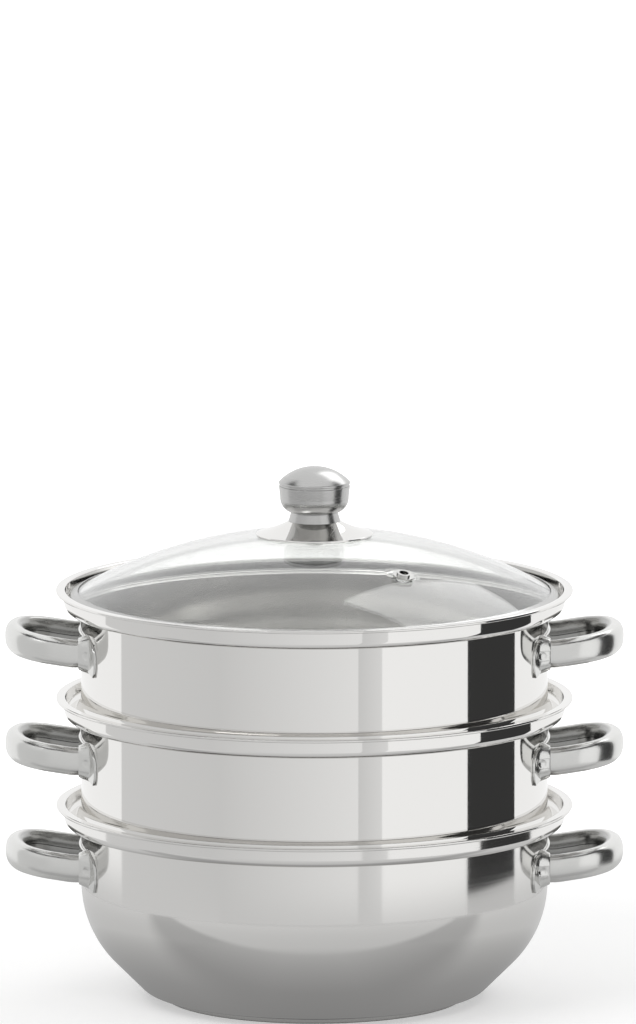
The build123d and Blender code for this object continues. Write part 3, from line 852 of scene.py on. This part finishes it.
# %% Points of an arc through three points
def arc_through(first, middle, last, steps=12):
    """Points (radius, height, 0) after the first up to the last, on the arc through three."""
    (ax, ay), (bx, by), (cx, cy) = first, middle, last
    double = 2 * (ax * (by - cy) + bx * (cy - ay) + cx * (ay - by))
    a2, b2, c2 = ax * ax + ay * ay, bx * bx + by * by, cx * cx + cy * cy
    x = (a2 * (by - cy) + b2 * (cy - ay) + c2 * (ay - by)) / double
    y = (a2 * (cx - bx) + b2 * (ax - cx) + c2 * (bx - ax)) / double
    radius = math.hypot(ax - x, ay - y)
    start = math.atan2(ay - y, ax - x)
    sweep = (math.atan2(cy - y, cx - x) - start + math.pi) % (2 * math.pi) - math.pi
    turns = [start + sweep * step / steps for step in range(1, steps)]
    return [(x + radius * math.cos(turn), y + radius * math.sin(turn), 0) for turn in turns]


# %% Turn the knob's pieces
PLATE_EDGE = 1 * MM
PLATE_SAG = 0.8 * MM
NECK_FLARE = 1.6 * MM
NECK_RADIUS = 13 * MM
BOWL_BULGE = 1.6 * MM
BOWL_HEIGHT = 8 * MM
CUFF_HEIGHT = 6.5 * MM
CUFF_FLARE = 0.7 * MM
KNOB_FOOT_RADIUS = 14.5 * MM
GROOVE_DEPTH = 0.8 * MM
CAP_RIM = 1.2 * MM
SCREW_HOLE = 2.55 * MM
EDGE = 0.35 * MM
PLATE_LOW_BEND = 0.2 * MM
PLATE_TOP_BEND = 0.3 * MM
NECK_BEND = 0.15 * MM
BOWL_BEND = 0.5 * MM
CAP_BEND = 0.8 * MM
CAP_STEPS = 32
KNOB_SEGMENTS = 96

plate_radius, _, plate_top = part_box("knob_plate")[1] - Vector((0, 0, lid_level))
knob_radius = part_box("knob_body")[1].x
knob_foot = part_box("knob_body")[0].z - lid_level
cuff_foot = knob_foot + BOWL_HEIGHT
cuff_top = cuff_foot + CUFF_HEIGHT
cap_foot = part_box("knob_cap")[0].z - lid_level
cap_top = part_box("knob_cap")[1].z - lid_level
neck_edge = NECK_RADIUS + NECK_FLARE
cuff_radius = knob_radius - CUFF_FLARE
groove_radius = knob_radius - GROOVE_DEPTH
plate_low = (plate_radius, on_dome(plate_radius))
plate_high = (plate_radius, plate_low[1] + PLATE_EDGE)
plate_middle = ((plate_radius + neck_edge) / 2, (plate_high[1] + plate_top) / 2 - PLATE_SAG)
bowl_middle = ((KNOB_FOOT_RADIUS + cuff_radius) / 2 + BOWL_BULGE, (knob_foot + cuff_foot) / 2)
under_plate = (SCREW_HOLE, on_dome(SCREW_HOLE))
under_middle = (plate_radius / 2, on_dome(plate_radius / 2))
cap_rim = cap_foot + CAP_RIM
cap_arc = arc_through((knob_radius, cap_rim), (0, cap_top), (-knob_radius, cap_rim), CAP_STEPS)

knob_pieces = {
    "knob_plate": ("plate_steel", mirror_steel, [
        (*under_plate, 0),
        *arc_through(under_plate, under_middle, plate_low),
        (*plate_low, PLATE_LOW_BEND),
        (*plate_high, EDGE),
        *arc_through(plate_high, plate_middle, (neck_edge, plate_top)),
        (neck_edge, plate_top, PLATE_TOP_BEND),
        (SCREW_HOLE, plate_top, FINE_EDGE),
        (*under_plate, 0),
    ]),
    "knob_neck": ("knob_steel", satin_steel, [
        (SCREW_HOLE, plate_top, 0),
        (neck_edge, plate_top, NECK_BEND),
        (NECK_RADIUS, knob_foot, NECK_BEND),
        (SCREW_HOLE, knob_foot, FINE_EDGE),
        (SCREW_HOLE, plate_top, 0),
    ]),
    "knob_body": ("knob_steel", satin_steel, [
        (SCREW_HOLE, knob_foot, 0),
        (KNOB_FOOT_RADIUS, knob_foot, EDGE),
        *arc_through((KNOB_FOOT_RADIUS, knob_foot), bowl_middle, (cuff_radius, cuff_foot)),
        (cuff_radius, cuff_foot, BOWL_BEND),
        (knob_radius, cuff_top, EDGE),
        (groove_radius, cuff_top, FINE_EDGE),
        (groove_radius, cap_foot, FINE_EDGE),
        (SCREW_HOLE, cap_foot, FINE_EDGE),
        (SCREW_HOLE, knob_foot, 0),
    ]),
    "knob_cap": ("knob_steel", satin_steel, [
        (0, cap_foot, 0),
        (knob_radius, cap_foot, EDGE),
        (knob_radius, cap_rim, CAP_BEND),
        *cap_arc[:len(cap_arc) // 2],
        (0, cap_top, 0),
    ]),
}
for node, (slot, finish, corners) in knob_pieces.items():
    piece = lathe(f"{node}_turned", rounded_outline(corners), finish, KNOB_SEGMENTS, lid_level)
    merge_points(piece.data, SEAM)
    piece.data.set_sharp_from_angle(angle=SHARP_TURN)
    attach(piece, "lid")
    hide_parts(node)
    print(piece.name, len(piece.data.polygons), "faces")

# %% [markdown]
# ## Brackets
# A bracket is pressed from one sheet: a wing that hugs the wall, and two sockets that stand
# out of it round the legs of the grip. The CAD model has its exact shape with sharp edges.
# Tumbling rounds them, so a merged copy of one CAD mesh gets small bevels along every edge
# that turns by more than a set angle. The sockets are blasted together with the grips that
# are welded into them, so their faces, which stand clear of the wing, get the grip's satin.
# The wing is a part of a cylinder in a few long triangles, whose blended shading would break
# every reflection into zigzags, so it gets a cylinder's own normals.

# %% Bevel the edges of the brackets
EDGE_TURN = math.radians(24)
FLAT_TURN = math.radians(0.5)
EDGE_BEVEL = 0.3 * MM
BRACKET_SHEET = 1.2 * MM
SOCKET_START = 0.5 * MM
CAD_MERGE = 0.002 * MM
SAME_RADIUS = 0.02 * MM
FACING_OUT = 0.97

socket_radius = wall_radius + BRACKET_SHEET + SOCKET_START


def softened_mesh(node):
    """Mesh of a CAD piece, merged, with its sharp edges bevelled."""
    shape = bmesh.new()
    shape.from_mesh(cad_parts[node].data)
    bmesh.ops.transform(shape, matrix=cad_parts[node].matrix_world, verts=shape.verts)
    bmesh.ops.remove_doubles(shape, verts=shape.verts, dist=CAD_MERGE)
    bmesh.ops.dissolve_limit(shape, angle_limit=FLAT_TURN, verts=shape.verts, edges=shape.edges)
    sharp = [edge for edge in shape.edges
             if len(edge.link_faces) == 2 and edge.calc_face_angle() > EDGE_TURN]
    bmesh.ops.bevel(shape, geom=sharp, offset=EDGE_BEVEL, offset_type="OFFSET", segments=3,
                    profile=0.5, affect="EDGES", clamp_overlap=True)
    mesh = bpy.data.meshes.new(node)
    shape.to_mesh(mesh)
    shape.free()
    merge_points(mesh, SEAM, turn_outwards=True)
    return mesh


def round_off(mesh):
    """Shade the faces that lie on a cylinder round the axis as a true cylinder."""
    normals = [(0, 0, 0)] * len(mesh.loops)
    for face in mesh.polygons:
        spots = [mesh.vertices[index].co for index in face.vertices]
        radii = [math.hypot(spot.x, spot.y) for spot in spots]
        facing = face.normal.dot(Vector((face.center.x, face.center.y, 0)).normalized())
        if max(radii) - min(radii) < SAME_RADIUS and abs(facing) > FACING_OUT:
            for loop, spot in zip(face.loop_indices, spots):
                normals[loop] = Vector((spot.x, spot.y, 0)).normalized() * math.copysign(1, facing)
    mesh.normals_split_custom_set(normals)


# All six come out of one press, so one mesh serves them all
pot_bracket = "pot_bracket_right"
for node, body, mesh in six_copies(softened_mesh(pot_bracket), "bracket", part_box(pot_bracket)[0].z):
    bracket = finished_object(f"{node}_pressed", mesh, bright_steel)
    round_off(mesh)
    mesh.materials.append(grip_steel)
    for face in mesh.polygons:
        if math.hypot(face.center.x, face.center.y) > socket_radius:
            face.material_index = 1
    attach(bracket, body)
    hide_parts(node)
print("Bracket:", len(mesh.polygons), "faces,",
      sum(face.material_index for face in mesh.polygons), "of them blasted")

# %% [markdown]
# ## Pieces that the CAD model already draws well
# Base, glass, eyelet and the screw with its washer and seal keep their CAD shape. They only
# get their finish.

# %% Finish the CAD pieces that stay
# Where the base cap meets the pot, a thin dark line on both is painted shade, standing in for the
# shade of the crevice between them
CREVICE_SHADE_COLOUR = "4A4743"
CREVICE_SHADE_ON_CAP = 1.5 * MM
CREVICE_SHADE_ON_POT = 0.8 * MM


def darken_between(material, colour, low, high):
    """Paint the dark shade of a crevice into a steel's colour between two heights."""
    tree = material.node_tree
    add = partial(add_node, tree)
    place = add("ShaderNodeTexCoord").outputs["Object"]
    height = add("ShaderNodeSeparateXYZ", [place]).outputs["Z"]
    above = add("ShaderNodeMath", [height, low], operation="GREATER_THAN")
    below = add("ShaderNodeMath", [height, high], operation="LESS_THAN")
    between = add("ShaderNodeMath", [above, below], operation="MULTIPLY")
    mix = add("ShaderNodeMix", {
        "Factor": between, "A": linear(colour), "B": linear(CREVICE_SHADE_COLOUR)}, data_type="RGBA")
    tree.links.new(mix.outputs["Result"], tree.nodes["Principled BSDF"].inputs["Base Color"])


# Painted shade of the crevice between cap and pot, on the cap and on the pot
darken_between(turned_steel, STEEL_COLOUR, pot_foot - CREVICE_SHADE_ON_CAP, pot_foot)
darken_between(soft_mirror_steel, POT_COLOUR, pot_foot, pot_foot + CREVICE_SHADE_ON_POT)

kept_finishes = {
    "pot_base_cap": turned_steel,
    "pot_base_core": aluminium,
    "lid_glass": tempered_glass,
    "lid_vent": bright_steel,
    "knob_seal": silicone,
    "knob_washer": bright_steel,
    "knob_screw": bright_steel,
}
for node, finish in kept_finishes.items():
    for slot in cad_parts[node].material_slots:
        slot.material = finish

# %% [markdown]
# ## The studio
# Polished steel has no colour of its own to show. It shows the room, so the room is what a
# photographer builds: white all round, a grey screen in front and to the left, a narrow
# black flag to the right that draws the dark stripe, and a dark canopy above the front that
# draws a dark line along every rounded edge. All these are seen only in reflections. The
# studio's lengths are in metres.

# %% Floor and background
FLOOR_SIZE = 12
GLOW_START = 0.32
GLOW_END = 0.75
GLOW_NEAR = 0.42
FILL_STRENGTH = 0.6


def stage_object(name, spots, faces, material):
    """Object of the studio, which isn't a part of the pot."""
    mesh = bpy.data.meshes.new(name)
    mesh.from_pydata(spots, [], faces)
    mesh.materials.append(material)
    thing = bpy.data.objects.new(name, mesh)
    bpy.context.scene.collection.objects.link(thing)
    return thing


def with_empty_tree(owner):
    """A new material or world and its emptied node tree."""
    owner.use_nodes = True
    owner.node_tree.nodes.clear()
    return owner, owner.node_tree


def seen_directly(tree, *more):
    """1 for rays from the camera, through glass, and of the further kinds named."""
    rays = add_node(tree, "ShaderNodeLightPath").outputs
    seen = rays["Is Camera Ray"]
    for kind in ("Is Transmission Ray", *more):
        seen = add_node(tree, "ShaderNodeMath", [seen, rays[kind]], operation="MAXIMUM")
    return seen


# For the camera and through glass the floor glows: a little near the pot, so that the shadow
# stays, and full white further out, where it has to melt into the background
floor_material, tree = with_empty_tree(bpy.data.materials.new("pale_studio_floor"))
add = partial(add_node, tree)
paper = add("ShaderNodeBsdfDiffuse", {"Color": linear("E8E8E8")})
place = add("ShaderNodeTexCoord").outputs["Object"]
distance = add("ShaderNodeVectorMath", [place], operation="LENGTH").outputs["Value"]
glow_share = add("ShaderNodeMapRange", [distance, GLOW_START, GLOW_END, GLOW_NEAR, 1.0],
                 interpolation_type="SMOOTHSTEP")
strength = add("ShaderNodeMath", [glow_share, seen_directly(tree)], operation="MULTIPLY")
glow = add("ShaderNodeEmission", {"Strength": strength})
both = add("ShaderNodeAddShader", [paper, glow])
add("ShaderNodeOutputMaterial", {"Surface": both})

half = FLOOR_SIZE / 2
stage_object("studio_floor", [(-half, -half, 0), (half, -half, 0), (half, half, 0), (-half, half, 0)],
             [(0, 1, 2, 3)], floor_material)

bpy.context.scene.world, tree = with_empty_tree(bpy.data.worlds.new("white_studio"))
add = partial(add_node, tree)
shown = seen_directly(tree, "Is Glossy Ray")
fill_light = add("ShaderNodeBackground", {"Color": linear("FFFFFF"), "Strength": FILL_STRENGTH})
white_back = add("ShaderNodeBackground", {"Color": linear("FFFFFF"), "Strength": 1.0})
mixed = add("ShaderNodeMixShader", [shown, fill_light, white_back])
add("ShaderNodeOutputWorld", {"Surface": mixed})

# %% Screens that only reflections see
SCREEN_DISTANCE = 0.4
SCREEN_FOOT = 0.001
SCREEN_HEIGHT = 0.46
FLAG_FOOT = 0.021
SCREEN_STEP = 3
FADE_HEIGHT = 0.04
FLOOR_TONE = 0.68


def reflected_card(name, spots, faces, material, strength):
    """Card of a given strength, a value or a node, that only reflections see."""
    tree = material.node_tree
    light = add_node(tree, "ShaderNodeEmission", {"Color": linear("FFFFFF"), "Strength": strength})
    add_node(tree, "ShaderNodeOutputMaterial", {"Surface": light})
    card = stage_object(name, spots, faces, material)
    card.visible_camera = False
    card.visible_diffuse = False
    card.visible_transmission = False
    card.visible_shadow = False


def strip_faces(steps):
    """Faces of a strip whose points come in pairs, one pair for each step and one more."""
    return [(2 * step, 2 * step + 2, 2 * step + 3, 2 * step + 1) for step in range(steps)]


def screen(name, start, end, brightness_start, brightness_end, foot=SCREEN_FOOT):
    """Curved screen between two bearings in degrees, 0 towards the camera and 90 to the right."""
    steps = max(2, round(abs(end - start) / SCREEN_STEP))
    spots = []
    for step in range(steps + 1):
        bearing = math.radians(start + (end - start) * step / steps)
        x, y = SCREEN_DISTANCE * math.sin(bearing), -SCREEN_DISTANCE * math.cos(bearing)
        spots += [(x, y, foot), (x, y, SCREEN_HEIGHT)]
    material, tree = with_empty_tree(bpy.data.materials.new(name))
    add = partial(add_node, tree)
    place = add("ShaderNodeTexCoord").outputs["Object"]
    x, y, z = add("ShaderNodeSeparateXYZ", [place]).outputs
    bright = brightness_start
    if brightness_end != brightness_start:
        forwards = add("ShaderNodeMath", [y, -1.0], operation="MULTIPLY")
        bearing = add("ShaderNodeMath", [x, forwards], operation="ARCTAN2")
        bright = add("ShaderNodeMapRange", [
            bearing, math.radians(start), math.radians(end), brightness_start, brightness_end])
    floor_tone = min(FLOOR_TONE, brightness_start)
    rise = add("ShaderNodeMapRange", [z, foot, FADE_HEIGHT, floor_tone, bright],
               interpolation_type="SMOOTHSTEP")
    reflected_card(name, spots, strip_faces(steps), material, rise)


screen("grey_screen_left", -95, -40, 0.69, 0.65)
screen("grey_screen_front", -40, 18, 0.65, 0.86)
screen("grey_strip_front", 18, 28, 0.66, 0.78)
screen("white_screen_right", 28, 69, 1.0, 1.0)
screen("black_flag_right", 69, 101, 0.04, 0.04, FLAG_FOOT)
screen("white_screen_back", 101, 265, 1.0, 1.0)

# %% Sheet on the ground and canopy above
# A grey sheet under the pot darkens whatever faces down. Close to the foot it is darker
# still: a painted shadow of the pot on the floor, which reflections show in place of the real
# one. A slightly darker strip across it, in front of the foot, draws the arc that bends
# across the belly. Its edges are soft, and it is darker to the sides, where the arc is narrow.
SHEET_RADIUS = 0.39
SHEET_LEVEL = 0.0005
SHEET_CORNERS = 120
NEAR_RANGE = (0.085, 0.2)
FOOT_SHADOW_TONES = (0.25, 0.6)
FAR_GAIN = 0.1
STRIP_FRONT = (-0.188, -0.170)
STRIP_BACK = (-0.115, -0.075)
STRIP_SIDES = (0.03, 0.13)
STRIP_TONES = (0.9, 0.72)

sheet_material, tree = with_empty_tree(bpy.data.materials.new("grey_ground_sheet"))
add = partial(add_node, tree)
place = add("ShaderNodeTexCoord").outputs["Object"]
x, y, _ = add("ShaderNodeSeparateXYZ", [place]).outputs
distance = add("ShaderNodeVectorMath", [place], operation="LENGTH").outputs["Value"]
# Painted shadow of the pot on the floor, darkest at the foot and fading outwards
foot_shadow_tone = add("ShaderNodeMapRange", [distance, *NEAR_RANGE, *FOOT_SHADOW_TONES])
far_tone = add("ShaderNodeMapRange", [distance, NEAR_RANGE[1], SHEET_RADIUS, 0.0, FAR_GAIN])
ground_tone = add("ShaderNodeMath", [foot_shadow_tone, far_tone])
front_edge = add("ShaderNodeMapRange", [y, *STRIP_FRONT], interpolation_type="SMOOTHSTEP")
back_edge = add("ShaderNodeMapRange", [y, *STRIP_BACK, 1.0, 0.0], interpolation_type="SMOOTHSTEP")
on_strip = add("ShaderNodeMath", [front_edge, back_edge], operation="MULTIPLY")
sideways = add("ShaderNodeMath", [x], operation="ABSOLUTE")
strip_tone = add("ShaderNodeMapRange", [sideways, *STRIP_SIDES, *STRIP_TONES])
strip_share = add("ShaderNodeMapRange", [on_strip, 0.0, 1.0, 1.0, strip_tone])
sheet_tone = add("ShaderNodeMath", [ground_tone, strip_share], operation="MULTIPLY")
turns = [2 * math.pi * step / SHEET_CORNERS for step in range(SHEET_CORNERS)]
sheet_spots = [(SHEET_RADIUS * math.cos(turn), SHEET_RADIUS * math.sin(turn), SHEET_LEVEL)
               for turn in turns]
reflected_card("grey_ground_sheet", sheet_spots, [tuple(range(SHEET_CORNERS))], sheet_material,
               sheet_tone)

# The canopy is a part of a ring, in front and to both sides
CANOPY_LEVEL = 0.78
CANOPY_INSIDE = 0.33
CANOPY_OUTSIDE = 0.64
CANOPY_HALF_TURN = 125
CANOPY_STEPS = 50
CANOPY_TONE = 0.03
canopy_spots = []
for step in range(CANOPY_STEPS + 1):
    bearing = math.radians(CANOPY_HALF_TURN * (2 * step / CANOPY_STEPS - 1))
    for radius in (CANOPY_INSIDE, CANOPY_OUTSIDE):
        canopy_spots.append((radius * math.sin(bearing), -radius * math.cos(bearing), CANOPY_LEVEL))
canopy_material, _ = with_empty_tree(bpy.data.materials.new("dark_canopy"))
reflected_card("dark_canopy", canopy_spots, strip_faces(CANOPY_STEPS), canopy_material, CANOPY_TONE)

# %% Soft lamps above
LAMP_TARGET = Vector((0, 0, 0.2))


def soft_lamp(name, place, size, power):
    """Square area lamp that faces the middle of the object."""
    data = bpy.data.lights.new(name, "AREA")
    data.shape = "SQUARE"
    data.size = size
    data.energy = power
    lamp = bpy.data.objects.new(name, data)
    lamp.location = place
    lamp.rotation_euler = (LAMP_TARGET - Vector(place)).to_track_quat("-Z", "Y").to_euler()
    bpy.context.scene.collection.objects.link(lamp)


soft_lamp("key_lamp", (-1.1, -1.2, 1.9), 1.2, 9)
soft_lamp("back_lamp", (0.9, 1.3, 1.8), 1.2, 6)

# %% [markdown]
# ## The camera
# The photograph looks slightly down on the pot, from about 9 degrees above its rim, and
# from so far away that the pot and the tiers above it show the same angle. Its height takes
# in the tiers when they are lifted apart. The picture is 636 by 1024, and the lens follows
# from the height that has to fit at that distance.

# %% Place the camera
CAMERA_DISTANCE = 8.0
CAMERA_ELEVATION = math.radians(9.2)
VIEW_HEIGHT = 573.3 * MM
VIEW_MIDDLE = Vector((2 * MM, 0, 275.2 * MM))

camera_data = bpy.data.cameras.new("camera")
camera_data.sensor_width = 36
camera_data.lens = camera_data.sensor_width * CAMERA_DISTANCE / VIEW_HEIGHT
camera = bpy.data.objects.new("camera", camera_data)
back = Vector((0, -math.cos(CAMERA_ELEVATION), math.sin(CAMERA_ELEVATION)))
camera.location = VIEW_MIDDLE + CAMERA_DISTANCE * back
camera.rotation_euler = (-back).to_track_quat("-Z", "Y").to_euler()
bpy.context.scene.collection.objects.link(camera)
bpy.context.scene.camera = camera
bpy.context.scene.view_settings.view_transform = "Standard"
print("Lens in mm:", round(camera_data.lens, 1))
